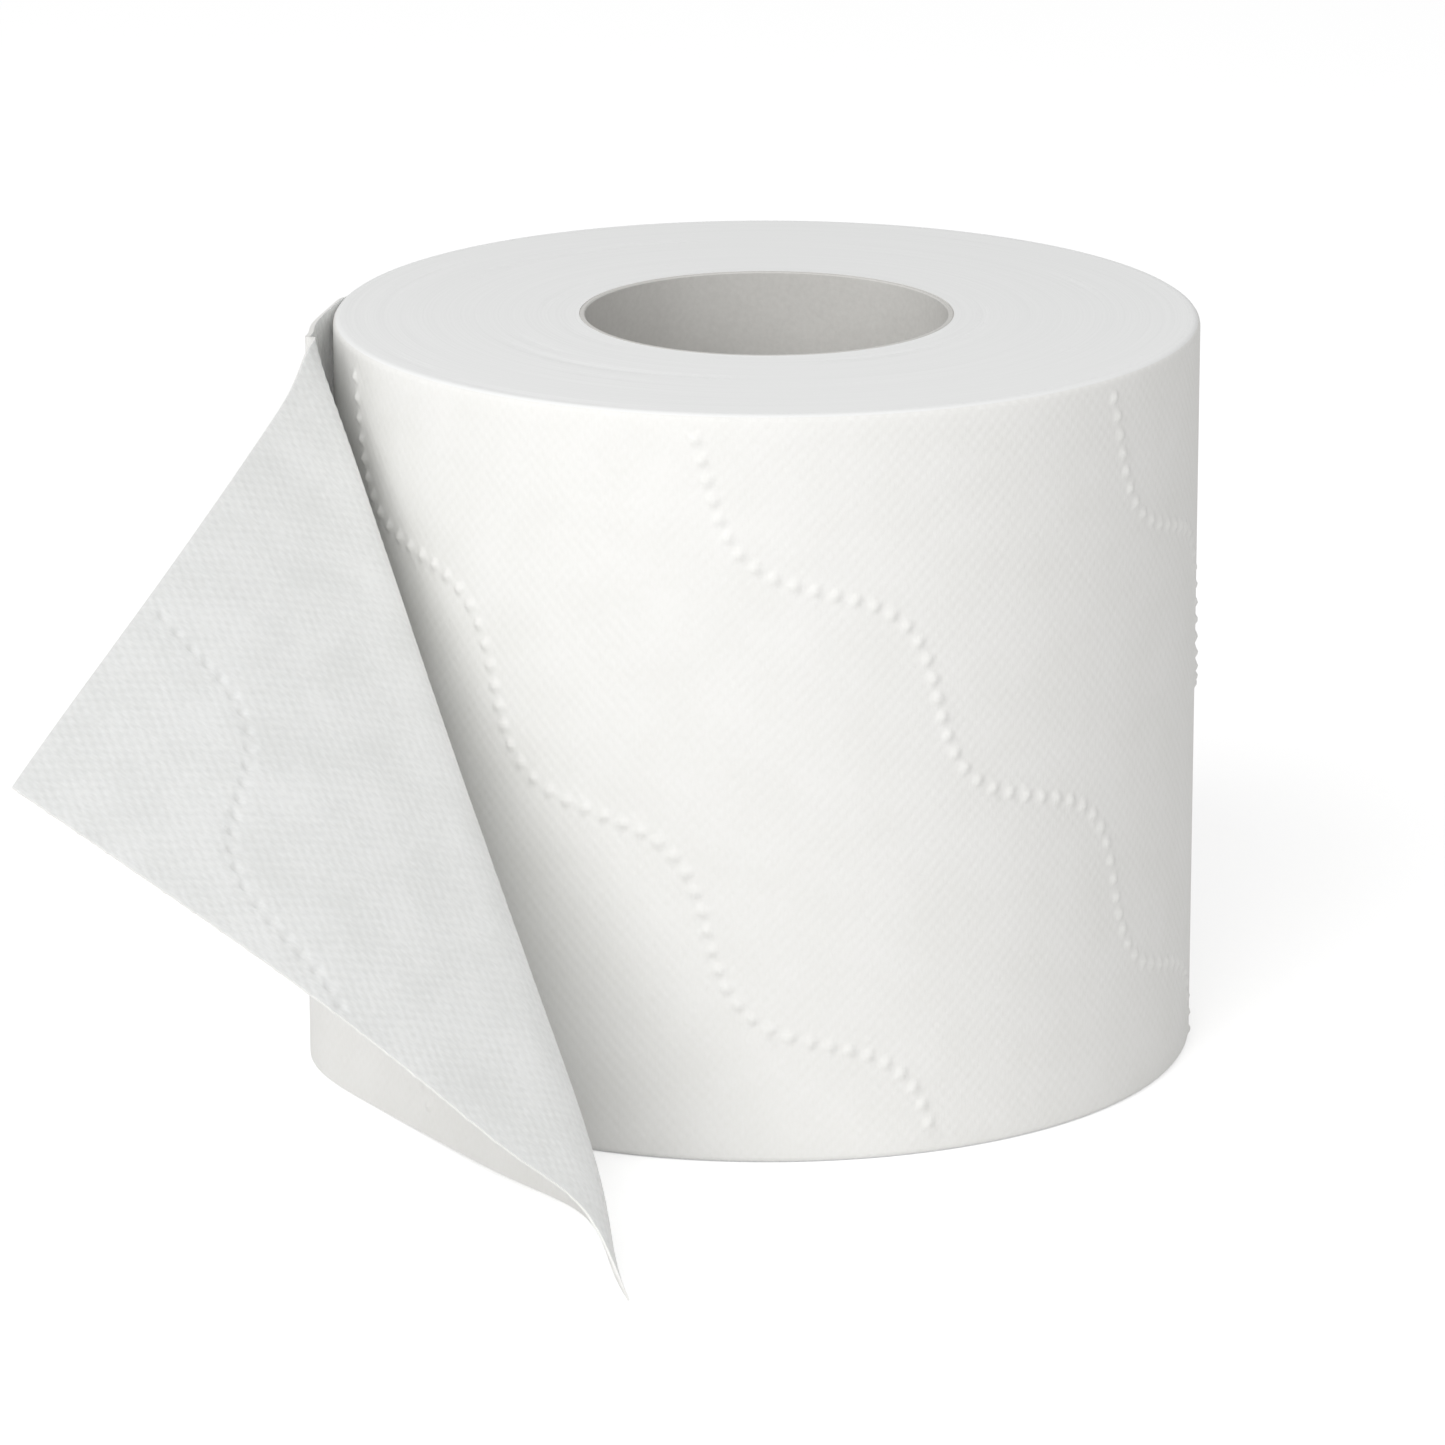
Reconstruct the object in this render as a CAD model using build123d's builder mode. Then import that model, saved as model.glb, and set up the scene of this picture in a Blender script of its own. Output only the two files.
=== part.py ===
from build123d import *

import os
from math import cos, pi

# Toilet paper roll, in mm. The roll stands on z = 0 and its axis is Z.
# The wound web of paper
SHEET_WIDTH = 100.0
ROLL_RADIUS = 57.8
RIM_BEVEL = 0.7
WEB_THICKNESS = 0.4

# The cardboard core, as long as the web is wide
CORE_BORE_RADIUS = 24.25
CORE_WALL = 0.75

# Turns of the spiral that show as a groove on both end faces
TURNS_SHOWN = 6
GROOVE_WIDTH = 0.6
GROOVE_DEPTH = 0.3
GROOVE_INSET = 1.8

# The peeled end of the web. It stays a flat sheet, bent along straight lines only.
# Lengths run along its edges, from the line where it leaves the roll.
FREE_LENGTH = 129.9
PEEL_ANGLE = 11.7
SEAT_ANGLE = 5.0

# A soft bend runs from one line across the sheet to the next.
# Each line is given by where it meets the sheet's upper and lower edge.
SWEEP_UPPER, SWEEP_LOWER = 25.7, 14.1
FLANK_UPPER, FLANK_LOWER = 30.7, 40.6
FOLD_UPPER, FOLD_LOWER = 31.7, 103.4
FLAP_UPPER, FLAP_LOWER = 43.6, 154.5
CURL_LOWER = 235.0
TIP_LENGTH = 33.0
SWEEP_TURN = 41.1
FOLD_TURN = -75.0
CURL_TURN = -10.2
SWEEP_STEPS, FOLD_STEPS, CURL_STEPS = 8, 18, 4

core_radius = CORE_BORE_RADIUS + CORE_WALL
half_web = WEB_THICKNESS / 2
upright = Vector(0, 0, 1)
peel_side = Vector(-1, 0, 0).rotate(Axis.Z, -PEEL_ANGLE)

sweep_line = (SWEEP_UPPER, SWEEP_LOWER)
flank_line = (FLANK_UPPER, FLANK_LOWER)
fold_line = (FOLD_UPPER, FOLD_LOWER)
flap_line = (FLAP_UPPER, FLAP_LOWER)
curl_line = (FREE_LENGTH - TIP_LENGTH, CURL_LOWER)


def soft_fold(first, last, turn, steps):
    """The lines of a soft fold, each with its share of the turn, least at both ends."""
    lines = []
    for step in range(steps):
        place = (step + 0.5) / steps
        share = (cos(pi * step / steps) - cos(pi * (step + 1) / steps)) / 2
        upper = first[0] + (last[0] - first[0]) * place
        lower = first[1] + (last[1] - first[1]) * place
        lines.append((upper, lower, turn * share))
    return lines


def line_to_corner():
    """The line that meets the lower edge right at the corner of the torn end."""
    folds = [sweep_line, flank_line, fold_line, flap_line, curl_line]
    for first, last in zip(folds, folds[1:]):
        place = (FREE_LENGTH - first[1]) / (last[1] - first[1])
        if 0 <= place <= 1:
            return first[0] + (last[0] - first[0]) * place, FREE_LENGTH, 0.0
    raise ValueError("the torn end lies outside the folds")


def lower_end(upper, lower):
    """Where a line leaves the sheet: on the lower edge, or past it on the torn end."""
    if lower <= FREE_LENGTH:
        return lower, 0.0
    return FREE_LENGTH, SHEET_WIDTH * (lower - FREE_LENGTH) / (lower - upper)


def bend(sheet, upper, lower, turn):
    """The plane in which the sheet goes on once it is bent about a line."""
    top = sheet.from_local_coords((upper, SHEET_WIDTH))
    low = sheet.from_local_coords((lower, 0))
    hinge = Axis(low, top - low)
    along = sheet.x_dir.rotate(hinge, turn)
    across = sheet.y_dir.rotate(hinge, turn)
    start = top - along * upper - across * SHEET_WIDTH
    return Plane(start, x_dir=along, z_dir=along.cross(across))


def cross_section(before, after, upper, lower):
    """The plane that cuts the sheet square along a line, and the length of the cut."""
    top = before.from_local_coords((upper, SHEET_WIDTH))
    low = before.from_local_coords(lower_end(upper, lower))
    ruling = top - low
    outward = before.z_dir + after.z_dir
    return Plane(low, x_dir=ruling, z_dir=ruling.cross(outward)), ruling.length


with BuildPart() as tissue_web:
    # The wound body is a ring with bevelled rims.
    with BuildSketch(Plane.XZ) as half_section:
        with Locations((core_radius, 0)):
            Rectangle(ROLL_RADIUS - core_radius, SHEET_WIDTH, align=(Align.MIN, Align.MIN))
        chamfer(half_section.vertices().group_by(Axis.X)[-1], RIM_BEVEL)
    revolve(axis=Axis.Z)

    # Its turns run out from the core to the line where the free end leaves.
    # Half circles about two centres in turn make the spiral.
    pitch = (ROLL_RADIUS - core_radius - 2 * GROOVE_INSET) / TURNS_SHOWN
    for half_turn in range(2 * TURNS_SHOWN):
        side = peel_side if half_turn % 2 == 0 else -peel_side
        centre = side * (-pitch / 4)
        radius = core_radius + GROOVE_INSET + (half_turn + 0.5) * pitch / 2
        with BuildSketch(Plane(centre, x_dir=side, z_dir=side.cross(upright))):
            for face, depth in ((SHEET_WIDTH, GROOVE_DEPTH), (0, -GROOVE_DEPTH)):
                with BuildLine():
                    Polyline(
                        (radius - GROOVE_WIDTH, face + depth),
                        (radius, face - depth),
                        (radius + GROOVE_WIDTH, face + depth),
                        close=True,
                    )
                make_face()
        revolve(axis=Axis(centre, upright), revolution_arc=180, mode=Mode.SUBTRACT)

    # The free end leaves the roll at a tangent.
    with BuildSketch():
        with BuildLine():
            seat = CenterArc(
                (0, 0), ROLL_RADIUS - half_web, 180 - PEEL_ANGLE - SEAT_ANGLE, SEAT_ANGLE
            )
        trace(line_width=WEB_THICKNESS)
    extrude(amount=SHEET_WIDTH)

    # From here on the sheet is placed by the plane it would lie in if it were flat.
    heading = seat % 1
    sheet = Plane(seat @ 1, x_dir=heading, z_dir=heading.cross(upright))
    with BuildSketch(sheet):
        with BuildLine():
            Polyline(
                (0, 0), (SWEEP_LOWER, 0), (SWEEP_UPPER, SHEET_WIDTH), (0, SHEET_WIDTH), close=True
            )
        make_face()
    extrude(amount=half_web, both=True)

    # It sweeps round the roll, folds over outward and curls a little.
    corner_line = line_to_corner()
    lines = [(*sweep_line, 0.0), corner_line, (*curl_line, 0.0)]
    lines += soft_fold(sweep_line, flank_line, SWEEP_TURN, SWEEP_STEPS)
    lines += soft_fold(fold_line, flap_line, FOLD_TURN, FOLD_STEPS)
    lines += soft_fold(flap_line, curl_line, CURL_TURN, CURL_STEPS)
    lines.sort(key=lambda line: line[1])
    sections = []
    for upper, lower, turn in lines:
        turned = bend(sheet, upper, lower, turn)
        sections.append(cross_section(sheet, turned, upper, lower))
        sheet = turned
    corner = lines.index(corner_line)
    for stretch in (sections[: corner + 1], sections[corner:]):
        for cut, length in stretch:
            with BuildSketch(cut):
                Rectangle(length, WEB_THICKNESS, align=(Align.MIN, Align.CENTER))
        loft(ruled=True)

    # The upper corner of the torn end hangs flat.
    with BuildSketch(sheet):
        with BuildLine():
            Polyline(
                (curl_line[0], SHEET_WIDTH),
                lower_end(*curl_line),
                (FREE_LENGTH, SHEET_WIDTH),
                close=True,
            )
        make_face()
    extrude(amount=half_web, both=True)

# The core is a plain tube, glued in along its whole length.
with BuildPart() as core_tube:
    with BuildSketch():
        Circle(core_radius)
        Circle(CORE_BORE_RADIUS, mode=Mode.SUBTRACT)
    extrude(amount=SHEET_WIDTH)

tissue_web.part.label = "tissue_web"
core_tube.part.label = "core_tube"
os.makedirs("parts", exist_ok=True)
export_step(tissue_web.part, "parts/tissue_web.step")
export_step(core_tube.part, "parts/core_tube.step")
print("tissue_web", tissue_web.part.volume, tissue_web.part.bounding_box())
print("solids", len(tissue_web.solids()), "faces", len(tissue_web.faces()))
print("lowest point of the web", tissue_web.part.bounding_box().min.Z)
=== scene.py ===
from math import atan2, ceil, cos, exp, hypot, pi, radians, sin, sqrt, tau

import bmesh
import bpy
from mathutils import Matrix, Vector, kdtree, noise


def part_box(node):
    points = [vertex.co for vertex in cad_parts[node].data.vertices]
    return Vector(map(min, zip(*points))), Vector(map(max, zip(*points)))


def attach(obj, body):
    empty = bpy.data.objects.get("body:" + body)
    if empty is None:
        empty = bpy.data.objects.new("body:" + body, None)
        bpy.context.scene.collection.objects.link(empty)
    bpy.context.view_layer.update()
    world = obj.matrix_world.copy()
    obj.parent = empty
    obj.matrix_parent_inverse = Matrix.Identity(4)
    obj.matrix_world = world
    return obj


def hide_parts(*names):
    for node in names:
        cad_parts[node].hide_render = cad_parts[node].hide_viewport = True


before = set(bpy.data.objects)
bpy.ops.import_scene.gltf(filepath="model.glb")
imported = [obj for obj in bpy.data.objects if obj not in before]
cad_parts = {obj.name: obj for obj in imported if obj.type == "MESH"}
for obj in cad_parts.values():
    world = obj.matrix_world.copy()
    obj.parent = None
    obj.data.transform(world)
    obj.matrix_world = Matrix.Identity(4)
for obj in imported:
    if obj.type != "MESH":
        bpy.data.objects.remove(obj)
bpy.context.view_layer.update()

# The wound web of tissue
# Two plies of bath tissue, embossed together and wound into a roll on the core. It is one long
# strip, glued to the core at its start. Here is its wound part, with its soft rims.
CORE_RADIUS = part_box("core_tube")[1].x
SHEET_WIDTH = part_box("core_tube")[1].z
ROLL_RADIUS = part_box("tissue_web")[1].x
RIM_ROUNDING = 0.001
RIM_STEPS = 4
AROUND = 180
WALL_ROWS = 42
TURN_RINGS = 48
HAIR = 1e-6

flat_end = ROLL_RADIUS - RIM_ROUNDING
web = bmesh.new()
web_flat = web.loops.layers.uv.new("flat")


def rounded_rim(angle, centre_z, up):
    """A point of the rim's quarter round, from 0 on the end face to a quarter turn on the wall."""
    out = RIM_ROUNDING * sin(angle)
    return Vector((flat_end + out, 0, centre_z + up * RIM_ROUNDING * cos(angle)))


def turn_round(mesh, half_section, steps):
    """Turns a closed half section, a loop of points beside the roll's axis, once round the axis."""
    outline = [mesh.verts.new(point) for point in half_section]
    for start, end in zip(outline, outline[1:] + outline[:1]):
        mesh.edges.new((start, end))
    bmesh.ops.spin(
        mesh,
        geom=mesh.verts[:] + mesh.edges[:],
        cent=(0, 0, 0),
        axis=(0, 0, 1),
        dvec=(0, 0, 0),
        angle=tau,
        steps=steps,
        use_merge=True,
        use_normal_flip=False,
    )
    bmesh.ops.remove_doubles(mesh, verts=mesh.verts, dist=HAIR)
    bmesh.ops.recalc_face_normals(mesh, faces=mesh.faces)


rings = [CORE_RADIUS + (flat_end - CORE_RADIUS) * k / TURN_RINGS for k in range(TURN_RINGS)]
quarter = [pi / 2 * k / RIM_STEPS for k in range(RIM_STEPS + 1)]
low_rim = [rounded_rim(angle, RIM_ROUNDING, -1) for angle in quarter]
high_rim = [rounded_rim(angle, SHEET_WIDTH - RIM_ROUNDING, 1) for angle in quarter]
wall_height = SHEET_WIDTH - 2 * RIM_ROUNDING
wall = [
    Vector((ROLL_RADIUS, 0, RIM_ROUNDING + wall_height * k / WALL_ROWS))
    for k in range(1, WALL_ROWS)
]
web_section = [Vector((r, 0, 0)) for r in rings] + low_rim + wall + high_rim[::-1]
web_section += [Vector((r, 0, SHEET_WIDTH)) for r in rings[::-1]]
turn_round(web, web_section, AROUND)

# The pearls
# Rows of small raised dots that the embossing roller presses into the web, each row a soft wave
# that runs down the sheet at a slant. The roller repeats six times round this roll.
PEARL_SPACING = 0.0027
PEARL_RADIUS = 0.0011
PEARL_HEIGHT = 0.00048
WAVE_HEIGHT = 0.0041
WAVE_START = 0.0045
FIRST_ROW = 0.0593
ROLLER_REPEATS = 6
WALL_FINE_REACH, WALL_CUTS = 0.0021, 4
ON_WALL = 0.995
FAR_AWAY = (9.0, 9.0)

girth = tau * ROLL_RADIUS
row_pitch = girth / ROLLER_REPEATS / sqrt(2)


def pearl_rows(first_length, last_length):
    """The pearls between two lengths along the web, as points (length, height, 0)."""
    found = []
    reach = abs(first_length) + abs(last_length) + SHEET_WIDTH
    margin = RIM_ROUNDING + PEARL_RADIUS
    for row in range(-ceil(reach / row_pitch), ceil(reach / row_pitch) + 1):
        slant = -reach
        while slant < reach:
            phase = tau * (slant - WAVE_START) / row_pitch
            off = FIRST_ROW + row * row_pitch + WAVE_HEIGHT * cos(phase)
            length, height = (slant + off) / sqrt(2), (off - slant) / sqrt(2)
            on_sheet = margin < height < SHEET_WIDTH - margin
            if on_sheet and first_length < length < last_length:
                found.append(Vector((length, height, 0)))
            climb = WAVE_HEIGHT * tau / row_pitch * sin(phase)
            slant += PEARL_SPACING / hypot(1, climb)
    return found


def pearl_finder(pearls):
    """A search tree over the pearls."""
    tree = kdtree.KDTree(len(pearls))
    for number, pearl in enumerate(pearls):
        tree.insert(pearl, number)
    tree.balance()
    return tree


def pearl_relief(tree, length, height):
    """How far the web is raised at a point: a round swelling over each pearl."""
    distance = tree.find((length, height, 0))[2]
    if distance > PEARL_RADIUS:
        return 0.0
    return PEARL_HEIGHT * (1 + cos(pi * distance / PEARL_RADIUS)) / 2


def length_round(point):
    """The length along the wound web, from the front of the roll towards its right."""
    return ROLL_RADIUS * atan2(point.x, -point.y)


def refine(mesh, tree, flat_place, reach, cuts):
    """Divides the faces near a pearl, so that it gets its round form."""
    near = [f for f in mesh.faces if tree.find((*flat_place(f), 0))[2] < reach]
    edges = {edge for face in near for edge in face.edges}
    bmesh.ops.subdivide_edges(mesh, edges=list(edges), cuts=cuts, use_grid_fill=True)


def wall_place(face):
    """The flat place of a face on the wall, and one far from any pearl for the others."""
    middle = face.calc_center_median()
    if hypot(middle.x, middle.y) < ROLL_RADIUS * ON_WALL:
        return FAR_AWAY
    return length_round(middle), middle.z


wound_pearls = pearl_finder(pearl_rows(-girth / 2 - PEARL_SPACING, girth / 2 + PEARL_SPACING))
refine(web, wound_pearls, wall_place, WALL_FINE_REACH, WALL_CUTS)
for vert in web.verts:
    radius = hypot(vert.co.x, vert.co.y)
    if RIM_ROUNDING < vert.co.z < SHEET_WIDTH - RIM_ROUNDING and radius > flat_end:
        raised = ROLL_RADIUS + pearl_relief(wound_pearls, length_round(vert.co), vert.co.z)
        vert.co.x *= raised / radius
        vert.co.y *= raised / radius

# The turns on the end faces
# The edges of the wound turns, pressed together. Each lies a hair higher or lower than the next,
# and here and there a turn was wound loose and leaves a thin gap that runs part of the way round.
TURN_DEPTH = 0.00004
LOOSE_DEPTH = 0.0005
LOOSE_ABOVE = 0.42
TURN_CHANGE, ROUND_CHANGE = 1.7, 0.7
LOOSE_TURN_CHANGE, LOOSE_ROUND_CHANGE = 0.61, 0.9
LOOSE_APART, SIDES_APART = 40, 31
OUTSIDE, WOUND_EDGES, INSIDE = 0, 1, 2
FACING_UP = 0.7


def turn_edge(point):
    """How far the edge of the turn at a point lies back from the end face."""
    radius = hypot(point.x, point.y)
    turn = (radius - CORE_RADIUS) / (flat_end - CORE_RADIUS) * TURN_RINGS
    way = Vector((point.x, point.y)) / radius
    side = SIDES_APART * point.z
    even_way = way * ROUND_CHANGE
    loose_way = way * LOOSE_ROUND_CHANGE
    uneven = 0.5 + 0.5 * noise.noise((turn * TURN_CHANGE, even_way.x + side, even_way.y))
    loose = noise.noise((turn * LOOSE_TURN_CHANGE + LOOSE_APART, loose_way.x, loose_way.y + side))
    return TURN_DEPTH * uneven + LOOSE_DEPTH * max(0.0, loose - LOOSE_ABOVE)


for vert in web.verts:
    radius = hypot(vert.co.x, vert.co.y)
    if CORE_RADIUS + HAIR < radius < flat_end - HAIR:
        if vert.co.z > SHEET_WIDTH - HAIR:
            vert.co.z -= turn_edge(vert.co)
        elif vert.co.z < HAIR:
            vert.co.z += turn_edge(vert.co)

for face in web.faces:
    middle = face.calc_center_median()
    if abs(face.normal.z) > FACING_UP:
        face.material_index = WOUND_EDGES
    for loop in face.loops:
        length = length_round(loop.vert.co)
        length += girth * round((length_round(middle) - length) / girth)
        loop[web_flat].uv = (length, loop.vert.co.z)

# The free end of the web
# The last stretch of the web, peeled off the roll: a flat sheet of two plies, bent along straight
# lines only. It stands on its edge round the roll, and its upper corner is folded over outward.
WEB_THICKNESS = 0.0003
FREE_LENGTH = 0.1299
PEEL_ANGLE = radians(11.5)
ROOT_LENGTH = 0.012
ROOT_LIFT = 0.0001
CELL = 0.0012
SHEET_FINE_REACH, SHEET_CUTS = 0.0017, 2

sheet = bmesh.new()
sheet_flat = sheet.loops.layers.uv.new("flat")
columns = ceil((FREE_LENGTH + ROOT_LENGTH) / CELL)
rows = ceil(SHEET_WIDTH / CELL)
bmesh.ops.create_grid(sheet, x_segments=columns, y_segments=rows, size=0.5)
bmesh.ops.scale(sheet, vec=(FREE_LENGTH + ROOT_LENGTH, SHEET_WIDTH, 1), verts=sheet.verts)
bmesh.ops.translate(
    sheet, vec=((FREE_LENGTH - ROOT_LENGTH) / 2, SHEET_WIDTH / 2, 0), verts=sheet.verts
)
peel_length = length_round(Vector((-cos(PEEL_ANGLE), sin(PEEL_ANGLE), 0)))
free_pearls = pearl_finder(
    [p - Vector((peel_length, 0, 0)) for p in pearl_rows(peel_length, peel_length + FREE_LENGTH)]
)


def sheet_place(face):
    """The flat place of a face of the sheet."""
    return face.calc_center_median().xy


refine(sheet, free_pearls, sheet_place, SHEET_FINE_REACH, SHEET_CUTS)

# The end was torn off at a line of perforations, which leaves a small tuft at each tie. Near the
# lower corner it tore back a little.
TIE_SPACING = 0.0042
TIE_WIDTH = 0.0006
TUFT_LENGTH = 0.00012
FRAYING = 0.00008
FRAYS_PER_METRE = 2600
TORN_CUTS = 3
UNEVEN_DEPTH = 0.0019
UNEVEN_HEIGHT = 0.014
UNEVEN_REACH = 0.006

torn = [e for e in sheet.edges if all(v.co.x > FREE_LENGTH - HAIR for v in e.verts)]
bmesh.ops.subdivide_edges(sheet, edges=torn, cuts=TORN_CUTS)
for vert in sheet.verts:
    if vert.co.x > FREE_LENGTH - HAIR:
        from_tie = abs((vert.co.y / TIE_SPACING) % 1 - 0.5) * TIE_SPACING
        tuft = max(0.0, 1 - from_tie / TIE_WIDTH)
        fray = noise.noise((vert.co.y * FRAYS_PER_METRE, 3.3, 0))
        vert.co.x += TUFT_LENGTH * tuft + FRAYING * fray
for vert in sheet.verts:
    near_end = max(0.0, 1 - (FREE_LENGTH - vert.co.x) / UNEVEN_REACH)
    near_corner = exp(-(((vert.co.y - UNEVEN_HEIGHT) / UNEVEN_REACH) ** 2) / 2)
    vert.co.x -= UNEVEN_DEPTH * near_end * near_corner

# The flat places are kept, because the bends, the embossing and the weave all follow them.
flat_length = sheet.verts.layers.float.new("flat_length")
flat_height = sheet.verts.layers.float.new("flat_height")
facing = sheet.verts.layers.float_vector.new("facing")
for vert in sheet.verts:
    vert[flat_length] = vert.co.x
    vert[flat_height] = vert.co.y

# The sheet is bent from its torn end back to its root. Each line is given by where it meets the
# sheet's upper and lower edge, and a soft bend runs from one line to the next.
SWEEP_LINE = (0.0251, 0.0101)
FLANK_LINE = (0.0301, 0.0482)
SLACK_LINE = (0.0303, 0.0831)
FOLD_LINE = (0.0333, 0.1184)
FLAP_LINE = (0.0383, 0.1467)
CURL_LINE = (0.0969, 0.235)
SWEEP_TURN, SLACK_TURN = radians(43.4), radians(-16.1)
FOLD_TURN, CURL_TURN = radians(-58.2), radians(-12.4)
ROOT_STEPS, SWEEP_STEPS, SLACK_STEPS, FOLD_STEPS, CURL_STEPS = 10, 16, 12, 32, 8


def soft_fold(first, last, turn, steps):
    """The lines of a soft fold, each with its share of the turn, least at both ends."""
    lines = []
    for step in range(steps):
        place = (step + 0.5) / steps
        share = (cos(pi * step / steps) - cos(pi * (step + 1) / steps)) / 2
        upper = first[0] + (last[0] - first[0]) * place
        lower = first[1] + (last[1] - first[1]) * place
        lines.append((upper, lower, turn * share))
    return lines


def even_bend(start, length, turn, steps):
    """The lines of a bend about the roll's own direction, evenly spread."""
    places = [start + length * (step + 0.5) / steps for step in range(steps)]
    return [(place, place, turn / steps) for place in places]


bends = even_bend(-ROOT_LENGTH, ROOT_LENGTH, ROOT_LENGTH / ROLL_RADIUS, ROOT_STEPS)
bends += soft_fold(SWEEP_LINE, FLANK_LINE, SWEEP_TURN, SWEEP_STEPS)
bends += soft_fold(SLACK_LINE, FOLD_LINE, SLACK_TURN, SLACK_STEPS)
bends += soft_fold(FOLD_LINE, FLAP_LINE, FOLD_TURN, FOLD_STEPS)
bends += soft_fold(FLAP_LINE, CURL_LINE, CURL_TURN, CURL_STEPS)
bends.sort(key=lambda line: line[0] + line[1])
for upper, lower, turn in reversed(bends):
    foot = Vector((lower, 0, 0))
    line = Vector((upper, SHEET_WIDTH, 0)) - foot
    beyond = [
        v for v in sheet.verts
        if v[flat_length] > lower + (upper - lower) * v[flat_height] / SHEET_WIDTH
    ]
    bmesh.ops.rotate(sheet, cent=foot, matrix=Matrix.Rotation(turn, 3, line), verts=beyond)

# The root lies round the roll again, and the sheet is set where it leaves the roll at a tangent.
root_turn = Matrix.Rotation(-ROOT_LENGTH / ROLL_RADIUS, 3, "Y")
heading = Vector((-sin(pi - PEEL_ANGLE), cos(pi - PEEL_ANGLE), 0))
outward = Vector((cos(pi - PEEL_ANGLE), sin(pi - PEEL_ANGLE), 0))
bmesh.ops.rotate(sheet, cent=(-ROOT_LENGTH, 0, 0), matrix=root_turn, verts=sheet.verts)
root = min(sheet.verts, key=lambda v: (abs(v[flat_length]) + abs(v[flat_height])))
bmesh.ops.translate(sheet, vec=-root.co, verts=sheet.verts)
to_roll = Matrix((heading, (0, 0, 1), outward)).transposed()
bmesh.ops.transform(sheet, matrix=to_roll.to_4x4(), verts=sheet.verts)
bmesh.ops.translate(sheet, vec=outward * (ROLL_RADIUS + ROOT_LIFT), verts=sheet.verts)

# Soft paper gives a little where it is bent. Each place has a length and height along the sheet,
# how far the push reaches along both, and the push itself.
GIVES = [
    (0.0265, SHEET_WIDTH, 0.0040, 0.045, Vector((0.0014, 0, 0))),
    (0.0200, 0.0, 0.0100, 0.045, Vector((-0.0014, 0, 0))),
    (0.0360, SHEET_WIDTH, 0.0050, 0.010, Vector((-0.0008, 0.0030, 0.0009))),
    (0.0980, 0.0, 0.0080, 0.012, Vector((0.0018, 0, 0))),
    (0.1250, 0.0, 0.0070, 0.006, Vector((-0.0014, -0.0030, 0))),
    (0.1299, SHEET_WIDTH, 0.0250, 0.030, Vector((-0.0008, 0, 0.0004))),
]

for vert in sheet.verts:
    for length, height, long_reach, high_reach, push in GIVES:
        along = (vert[flat_length] - length) / long_reach
        up = (vert[flat_height] - height) / high_reach
        vert.co += push * exp(-(along * along + up * up) / 2)

# Thin soft paper never lies quite flat, and its plies part a little along the upper edge at the
# bend.
WAVE_SIZE = 0.00028
WAVES_PER_METRE = 34
WAVES_GROW = (0.01, 0.05)
PLY_FLARE = 0.0003
FLARE_OPENS, FLARE_CLOSES = (0.010, 0.022), (0.030, 0.048)
FLARE_HEIGHT = 0.0045


def ease(value, start, end):
    """0 up to the start, 1 from the end on, and smooth between."""
    place = min(1.0, max(0.0, (value - start) / (end - start)))
    return place * place * (3 - 2 * place)


def flare(length, height):
    """How far the plies have parted at a flat place."""
    along = ease(length, *FLARE_OPENS) * (1 - ease(length, *FLARE_CLOSES))
    return PLY_FLARE * along * ease(height, SHEET_WIDTH - FLARE_HEIGHT, SHEET_WIDTH)


sheet.normal_update()
for vert in sheet.verts:
    vert[facing] = vert.normal
for vert in sheet.verts:
    length, height = vert[flat_length], vert[flat_height]
    wave = noise.noise((length * WAVES_PER_METRE, height * WAVES_PER_METRE, 5.7))
    raised = pearl_relief(free_pearls, length, height)
    raised += WAVE_SIZE * wave * ease(length, *WAVES_GROW)
    vert.co += Vector(vert[facing]) * raised

outer_faces = sheet.faces[:]
shell = bmesh.ops.extrude_face_region(sheet, geom=outer_faces, use_keep_orig=True)["geom"]
for vert in (g for g in shell if isinstance(g, bmesh.types.BMVert)):
    thickness = WEB_THICKNESS + flare(vert[flat_length], vert[flat_height])
    vert.co -= Vector(vert[facing]) * thickness
inner_faces = {g for g in shell if isinstance(g, bmesh.types.BMFace)}
bmesh.ops.recalc_face_normals(sheet, faces=sheet.faces)
for face in sheet.faces:
    face.material_index = INSIDE if face in inner_faces else OUTSIDE

# A fine groove along the edges tells the two plies apart. It is deeper where they part.
GROOVE_SHARE = 0.4
GROOVE_OPENS = (0.002, 0.010)


def flat_apart(edge):
    """How far apart the flat places of an edge's ends are."""
    start, end = edge.verts
    return hypot(start[flat_length] - end[flat_length], start[flat_height] - end[flat_height])


across = [edge for edge in sheet.edges if flat_apart(edge) < HAIR]
rim = {vert for edge in across for vert in edge.verts}
halved = bmesh.ops.subdivide_edges(sheet, edges=across, cuts=1)["geom_inner"]
middles = {g for g in halved if isinstance(g, bmesh.types.BMVert)}
for middle in middles:
    both_sides = [e.other_vert(middle) for e in middle.link_edges if e.other_vert(middle) in rim]
    ways = [
        (edge.other_vert(vert).co - vert.co).normalized()
        for vert in both_sides
        for edge in vert.link_edges
        if edge.other_vert(vert) not in rim and edge.other_vert(vert) not in middles
    ]
    if ways:
        depth = GROOVE_SHARE * (both_sides[0].co - both_sides[1].co).length
        depth *= ease(middle[flat_length], *GROOVE_OPENS)
        middle.co += sum(ways, Vector()).normalized() * depth

# Where it is still wound on, the free end has the roll's soft rim and sinks into the last turn.
ROOT_SINK = 0.0002
ROOT_NARROWER = 0.012
LEAVES_ROLL = (-0.002, 0.004)

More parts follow.
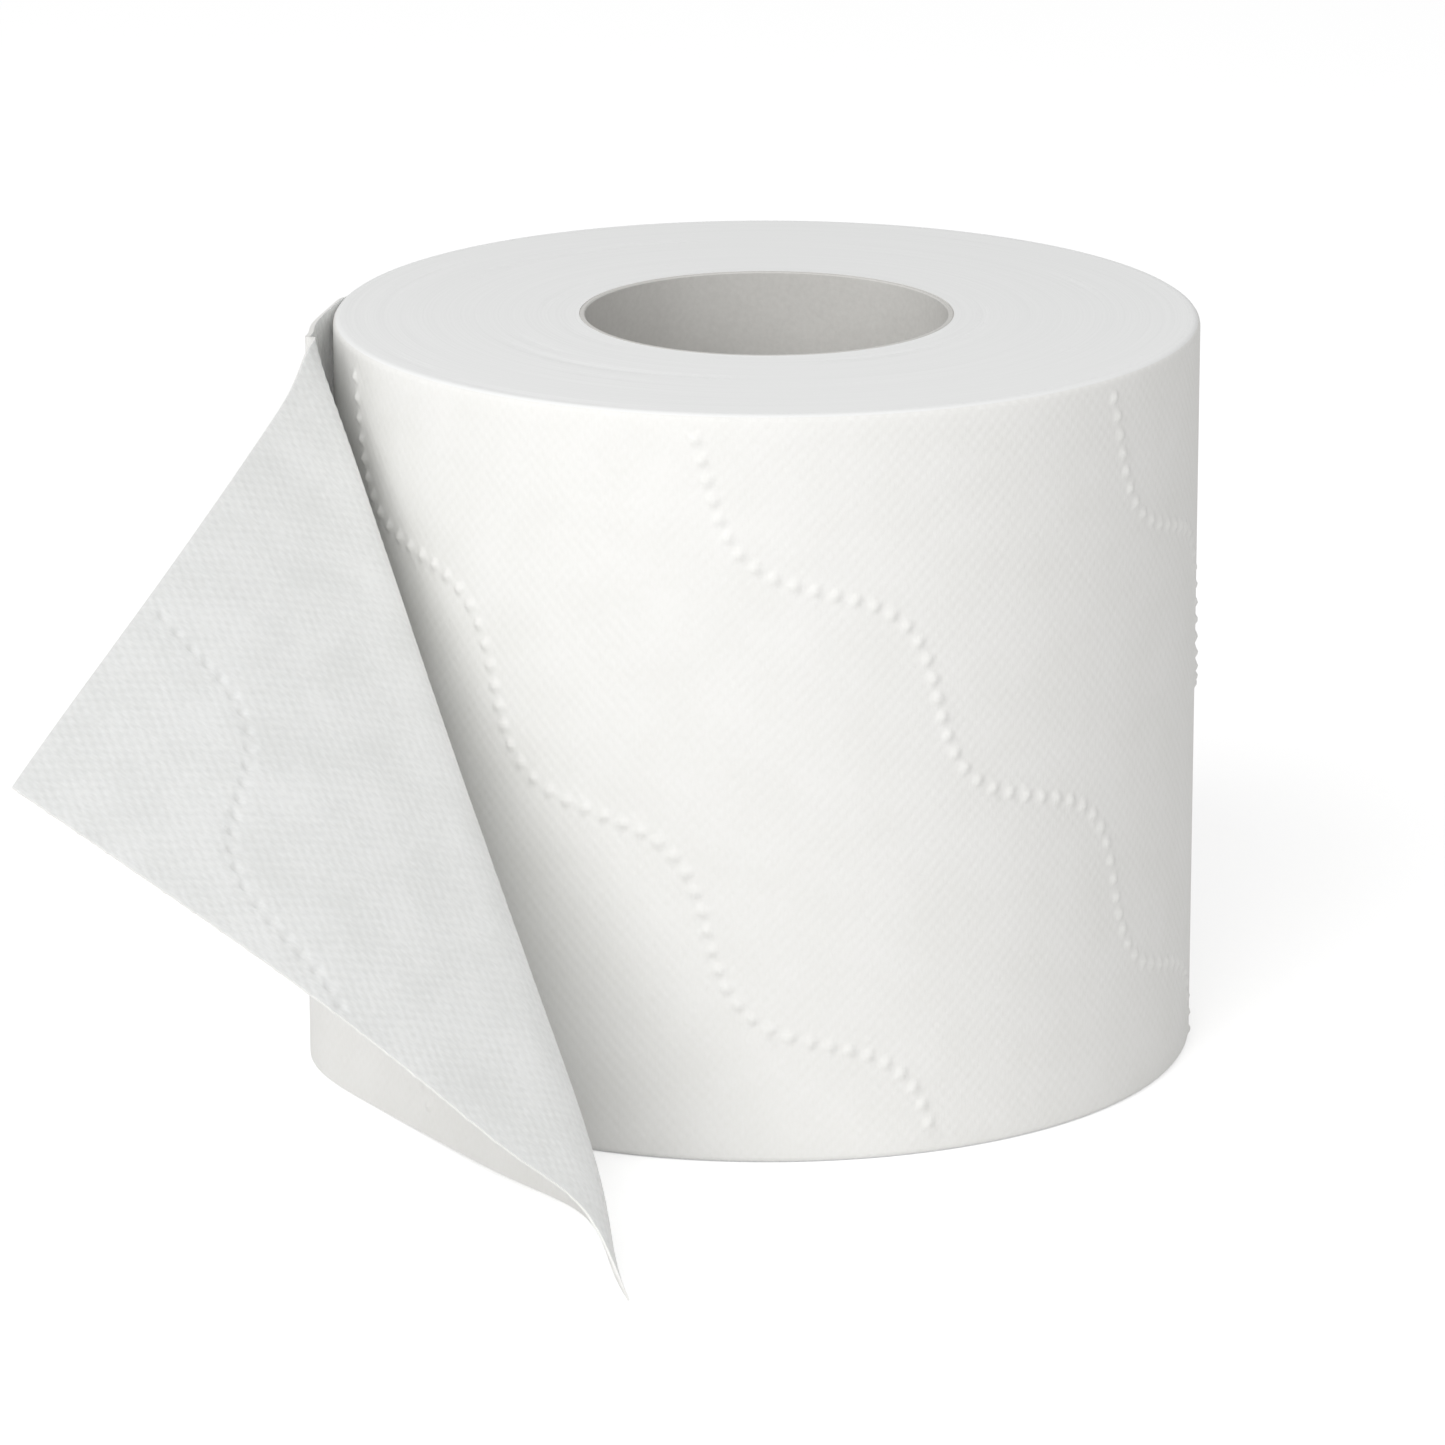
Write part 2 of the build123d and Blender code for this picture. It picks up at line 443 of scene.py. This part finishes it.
for vert in sheet.verts:
    length, height = vert[flat_length], vert[flat_height]
    wound_on = 1 - ease(length, *LEAVES_ROLL)
    vert.co.z -= (vert.co.z - SHEET_WIDTH / 2) * ROOT_NARROWER * wound_on
    past = max(0.0, abs(vert.co.z - SHEET_WIDTH / 2) - (SHEET_WIDTH / 2 - RIM_ROUNDING))
    drop = RIM_ROUNDING - sqrt(max(0.0, RIM_ROUNDING ** 2 - past ** 2))
    sink = ROOT_SINK * (1 - ease(length, -ROOT_LENGTH, 0))
    if length < LEAVES_ROLL[1]:
        radius = hypot(vert.co.x, vert.co.y)
        nearer = (radius - drop * wound_on - sink) / radius
        vert.co.x *= nearer
        vert.co.y *= nearer

for face in sheet.faces:
    for loop in face.loops:
        loop[sheet_flat].uv = (peel_length + loop.vert[flat_length], loop.vert[flat_height])

# The wound part and the free end are one web, so they are one piece.
SHARP_ANGLE = radians(40)


def shaded_piece(mesh, name):
    """An object of a mesh, shaded smooth between its sharp edges."""
    for face in mesh.faces:
        face.smooth = True
    for edge in mesh.edges:
        if edge.calc_face_angle(0) > SHARP_ANGLE:
            edge.smooth = False
    data = bpy.data.meshes.new(name)
    mesh.to_mesh(data)
    piece = bpy.data.objects.new(name, data)
    bpy.context.scene.collection.objects.link(piece)
    return piece


free_mesh = bpy.data.meshes.new("free_end")
sheet.to_mesh(free_mesh)
web.from_mesh(free_mesh)
embossed_web = shaded_piece(web, "embossed_web")

# The finish of the tissue
# Soft creped paper with a fine linen grid pressed into it, matte and a little see-through. The
# outside is a warm white and the cut edges of its turns a cooler white. The inside of the web is
# a darker, cooler grey, which is painted shade for the folded-over flap that shows its inside.
LINEN_ALONG, LINEN_UP = 565, 525
LINEN_ROUND = round(LINEN_ALONG * girth) / girth
LINEN_DEPTH = 0.00003
LINEN_PAINTED_LIGHT = 0.12
LINEN_PATCHES = 420
FIBRES = 2600
FIBRE_STRETCH = (1.0, 0.4, 1.0)
FIBRE_DEPTH = 0.00002
BLOTCHES = 110
SCATTER_REACH = 0.0009
SCATTER_COLOUR = (1.0, 0.985, 0.97)
RING_STRETCH = (3400, 26, 26)
RING_DEPTH = 0.00003
PAPER_ROUGHNESS, PAPER_SHINE = 0.95, 0.2


def joined(owner, kind, **values):
    """A new node of a material or of the surround, with some of its own settings."""
    node = owner.node_tree.nodes.new(kind)
    for name, value in values.items():
        setattr(node, name, value)
    return node


def link(owner, source, target):
    """Joins one node's output to another's input."""
    owner.node_tree.links.new(source, target)


def worked_out(owner, operation, *values):
    """What comes of a sum on numbers and other nodes' outputs."""
    node = joined(owner, "ShaderNodeMath", operation=operation)
    for socket, value in zip(node.inputs, values):
        if isinstance(value, (int, float)):
            socket.default_value = value
        else:
            link(owner, value, socket)
    return node.outputs[0]


def grain(owner, place, scale, detail):
    """An uneven pattern, from 0 to 1."""
    pattern = joined(owner, "ShaderNodeTexNoise")
    pattern.inputs["Scale"].default_value = scale
    pattern.inputs["Detail"].default_value = detail
    link(owner, place, pattern.inputs["Vector"])
    return pattern.outputs["Fac"]


def shades(owner, pattern, deepest, palest):
    """The colours of a pattern, between two of its values that each have their colour."""
    ramp = joined(owner, "ShaderNodeValToRGB")
    for stop, (value, colour) in zip(ramp.color_ramp.elements, (deepest, palest)):
        stop.position, stop.color = value, (*colour, 1)
    link(owner, pattern, ramp.inputs["Fac"])
    return ramp.outputs["Color"]


def pressed_in(owner, height, depth, under=None):
    """A relief of a height, over another relief where there is one."""
    bump = joined(owner, "ShaderNodeBump")
    bump.inputs["Strength"].default_value = 1.0
    bump.inputs["Distance"].default_value = depth
    link(owner, height, bump.inputs["Height"])
    if under:
        link(owner, under, bump.inputs["Normal"])
    return bump.outputs["Normal"]


def matte(name, roughness, shine):
    """A new matte material and its shader."""
    material = bpy.data.materials.new(name)
    material.use_nodes = True
    shader = material.node_tree.nodes["Principled BSDF"]
    shader.inputs["Roughness"].default_value = roughness
    shader.inputs["Specular IOR Level"].default_value = shine
    return material, shader


def paper(name, pale, deep, scatter, clear):
    """A tissue finish of fibres and blotches, with a linen grid that is more or less clear."""
    material, shader = matte(name, PAPER_ROUGHNESS, PAPER_SHINE)
    shader.inputs["Subsurface Weight"].default_value = scatter
    shader.inputs["Subsurface Radius"].default_value = SCATTER_COLOUR
    shader.inputs["Subsurface Scale"].default_value = SCATTER_REACH
    flat = joined(material, "ShaderNodeUVMap", uv_map="flat").outputs["UV"]

    ridges = []
    for slope in (1, -1):
        along = joined(material, "ShaderNodeVectorMath", operation="DOT_PRODUCT")
        along.inputs[1].default_value = (slope * LINEN_ROUND * tau, LINEN_UP * tau, 0)
        link(material, flat, along.inputs[0])
        ridges.append(worked_out(material, "SINE", along.outputs["Value"]))
    grid = worked_out(material, "ADD", *ridges)
    patches = grain(material, flat, LINEN_PATCHES, detail=2)
    linen = worked_out(material, "MULTIPLY", grid, patches)

    drawn = joined(material, "ShaderNodeMapping")
    drawn.inputs["Scale"].default_value = FIBRE_STRETCH
    link(material, flat, drawn.inputs["Vector"])
    fibres = grain(material, drawn.outputs["Vector"], FIBRES, detail=3)
    blotches = grain(material, flat, BLOTCHES, detail=2)

    uneven = worked_out(material, "ADD", fibres, blotches)
    # Fibres and blotches are the paper's own uneven tone. The linen adds painted light and shade on
    # its relief: the colour is lighter on its raised lines and darker in its hollows.
    grain_and_painted_relief_light = worked_out(material, "MULTIPLY_ADD", linen, LINEN_PAINTED_LIGHT * clear, uneven)
    pattern = worked_out(material, "MULTIPLY", grain_and_painted_relief_light, 0.5)
    colour = shades(material, pattern, (0.38, deep), (0.62, pale))
    link(material, colour, shader.inputs["Base Color"])
    relief = pressed_in(material, linen, LINEN_DEPTH * clear)
    relief = pressed_in(material, fibres, FIBRE_DEPTH, relief)
    link(material, relief, shader.inputs["Normal"])
    return material


def cut_edges(name, pale, deep):
    """The finish of the end faces: hundreds of thin edges, as rings of uneven height and shade."""
    material, shader = matte(name, PAPER_ROUGHNESS, PAPER_SHINE)
    place = joined(material, "ShaderNodeTexCoord")
    apart = joined(material, "ShaderNodeSeparateXYZ")
    level = joined(material, "ShaderNodeCombineXYZ")
    radius = joined(material, "ShaderNodeVectorMath", operation="LENGTH")
    rounds = joined(material, "ShaderNodeCombineXYZ")
    stretched = joined(material, "ShaderNodeMapping")
    stretched.inputs["Scale"].default_value = RING_STRETCH
    link(material, place.outputs["Object"], apart.inputs[0])
    link(material, apart.outputs["X"], level.inputs["X"])
    link(material, apart.outputs["Y"], level.inputs["Y"])
    link(material, level.outputs[0], radius.inputs[0])
    link(material, radius.outputs["Value"], rounds.inputs["X"])
    link(material, apart.outputs["X"], rounds.inputs["Y"])
    link(material, apart.outputs["Y"], rounds.inputs["Z"])
    link(material, rounds.outputs[0], stretched.inputs["Vector"])
    turns = grain(material, stretched.outputs["Vector"], scale=1.0, detail=3)
    colour = shades(material, turns, (0.3, deep), (0.62, pale))
    link(material, colour, shader.inputs["Base Color"])
    link(material, pressed_in(material, turns, RING_DEPTH), shader.inputs["Normal"])
    return material


outside = paper(
    "tissue_outside", pale=(0.93, 0.925, 0.905), deep=(0.90, 0.895, 0.87), scatter=0.0, clear=0.55
)
edges = cut_edges("wound_edges", pale=(0.96, 0.965, 0.96), deep=(0.93, 0.935, 0.93))
# The inside is coloured a darker, cooler grey than the outside: painted shade for the folded-over
# flap.
inside = paper(
    "tissue_inside_painted_shade", pale=(0.80, 0.81, 0.80), deep=(0.72, 0.73, 0.72), scatter=1.0, clear=1.0
)
for finish in (outside, edges, inside):
    embossed_web.data.materials.append(finish)

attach(embossed_web, "root")
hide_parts("tissue_web")

# The core
# A tube of grey board: strips of recycled paper wound on a slant and glued into a thin wall, then
# cut to length with the web on it. The joint of the innermost strip runs up the bore as a seam.
CORE_BORE = 0.02425
CORE_ROUNDING = 0.00015
CORE_AROUND = 144
CORE_ROWS = 20
SEAM_RISE = 0.075
SEAM_WIDTH = 0.0005
SEAM_DEPTH = 0.0001
PULP, CLOUDS = 1400, 70
PULP_DEPTH = 0.00002

core = bmesh.new()
low, high = CORE_ROUNDING, SHEET_WIDTH - CORE_ROUNDING
core_section = [(CORE_BORE, low + (high - low) * k / CORE_ROWS) for k in range(CORE_ROWS + 1)]
core_section += [
    (CORE_BORE + CORE_ROUNDING, SHEET_WIDTH),
    (CORE_RADIUS - CORE_ROUNDING, SHEET_WIDTH),
    (CORE_RADIUS, high),
    (CORE_RADIUS, low),
    (CORE_RADIUS - CORE_ROUNDING, 0),
    (CORE_BORE + CORE_ROUNDING, 0),
]
turn_round(core, [(radius, 0, height) for radius, height in core_section], CORE_AROUND)
board_core = shaded_piece(core, "board_core")

board, board_shader = matte("grey_board", roughness=0.8, shine=0.3)
place = joined(board, "ShaderNodeTexCoord").outputs["Object"]
pulp = grain(board, place, PULP, detail=5)
clouds = grain(board, place, CLOUDS, detail=3)
mixed = worked_out(board, "MULTIPLY", worked_out(board, "ADD", pulp, clouds), 0.5)
greys = shades(board, mixed, (0.36, (0.66, 0.65, 0.625)), (0.62, (0.72, 0.71, 0.685)))
link(board, greys, board_shader.inputs["Base Color"])

# The seam climbs as it goes round, so it is where the height and the angle agree.
apart = joined(board, "ShaderNodeSeparateXYZ")
link(board, place, apart.inputs[0])
angle = worked_out(board, "ARCTAN2", apart.outputs["Y"], apart.outputs["X"])
turned = worked_out(board, "DIVIDE", angle, tau)
climbed = worked_out(board, "DIVIDE", apart.outputs["Z"], SEAM_RISE)
helix = worked_out(board, "ADD", turned, climbed)
seam = joined(board, "ShaderNodeMapRange", interpolation_type="SMOOTHSTEP")
seam.inputs["From Max"].default_value = SEAM_WIDTH / SEAM_RISE
link(board, worked_out(board, "PINGPONG", helix, 0.5), seam.inputs["Value"])
groove = pressed_in(board, seam.outputs["Result"], SEAM_DEPTH)
link(board, pressed_in(board, pulp, PULP_DEPTH, groove), board_shader.inputs["Normal"])
board_core.data.materials.append(board)

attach(board_core, "root")
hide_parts("core_tube")

# The floor and the light
# A plain white floor under a white surround, and one broad soft lamp from the front left.
FLOOR_SIZE = 6.0
FLOOR_SHADE = (0.92, 0.92, 0.92, 1)
FLOOR_GLOW = 0.42
SURROUND = 0.53
LAMP_AZIMUTH = radians(27)
LAMP_HEIGHT = radians(36)
LAMP_DISTANCE = 1.2
LAMP_SIZE = 1.2
LAMP_POWER = 8.2

bpy.ops.mesh.primitive_plane_add(size=FLOOR_SIZE)
floor = bpy.context.object
floor.name = "floor"
floor_paint = bpy.data.materials.new("floor_paint")
floor_paint.use_nodes = True
floor_paint.node_tree.nodes.clear()
floor.data.materials.append(floor_paint)
paint = joined(floor_paint, "ShaderNodeBsdfDiffuse")
paint.inputs["Color"].default_value = FLOOR_SHADE
glow = joined(floor_paint, "ShaderNodeEmission")
seen = joined(floor_paint, "ShaderNodeLightPath").outputs["Is Camera Ray"]
both = joined(floor_paint, "ShaderNodeAddShader")
output = joined(floor_paint, "ShaderNodeOutputMaterial")
link(floor_paint, worked_out(floor_paint, "MULTIPLY", seen, FLOOR_GLOW), glow.inputs["Strength"])
link(floor_paint, paint.outputs[0], both.inputs[0])
link(floor_paint, glow.outputs[0], both.inputs[1])
link(floor_paint, both.outputs[0], output.inputs["Surface"])

world = bpy.data.worlds.new("surround")
bpy.context.scene.world = world
world.use_nodes = True
sky = world.node_tree.nodes["Background"]
sky.inputs["Color"].default_value = (1, 1, 1, 1)
seen = joined(world, "ShaderNodeLightPath").outputs["Is Camera Ray"]
strength = joined(world, "ShaderNodeMapRange")
strength.inputs["To Min"].default_value = SURROUND
strength.inputs["To Max"].default_value = 1.0
link(world, seen, strength.inputs["Value"])
link(world, strength.outputs["Result"], sky.inputs["Strength"])

lamp = bpy.data.lights.new("window", "AREA")
lamp.shape = "DISK"
lamp.size = LAMP_SIZE
lamp.energy = LAMP_POWER
window = bpy.data.objects.new("window", lamp)
bpy.context.scene.collection.objects.link(window)
aim = Vector((0, 0, SHEET_WIDTH / 2))
towards = Vector((
    -sin(LAMP_AZIMUTH) * cos(LAMP_HEIGHT),
    -cos(LAMP_AZIMUTH) * cos(LAMP_HEIGHT),
    sin(LAMP_HEIGHT),
))
window.location = aim + towards * LAMP_DISTANCE
window.rotation_euler = towards.to_track_quat("Z", "Y").to_euler()

# The camera
# It looks down on the roll a little from straight ahead, through a long lens.
CAMERA_PLACE = Vector((-0.00588, -1.0409, 0.34175))
CAMERA_TILT = radians(16.01)
FOCAL_PIXELS = 8000
FRAME_PIXELS = 1445
SENSOR = 36.0
NEAREST, FARTHEST = 0.05, 20

camera = bpy.data.cameras.new("camera")
camera.sensor_width = SENSOR
camera.lens = SENSOR * FOCAL_PIXELS / FRAME_PIXELS
camera.clip_start = NEAREST
camera.clip_end = FARTHEST
viewer = bpy.data.objects.new("camera", camera)
bpy.context.scene.collection.objects.link(viewer)
viewer.location = CAMERA_PLACE
viewer.rotation_euler = (pi / 2 - CAMERA_TILT, 0, 0)
bpy.context.scene.camera = viewer
bpy.context.scene.view_settings.view_transform = "Standard"

bpy.context.view_layer.update()
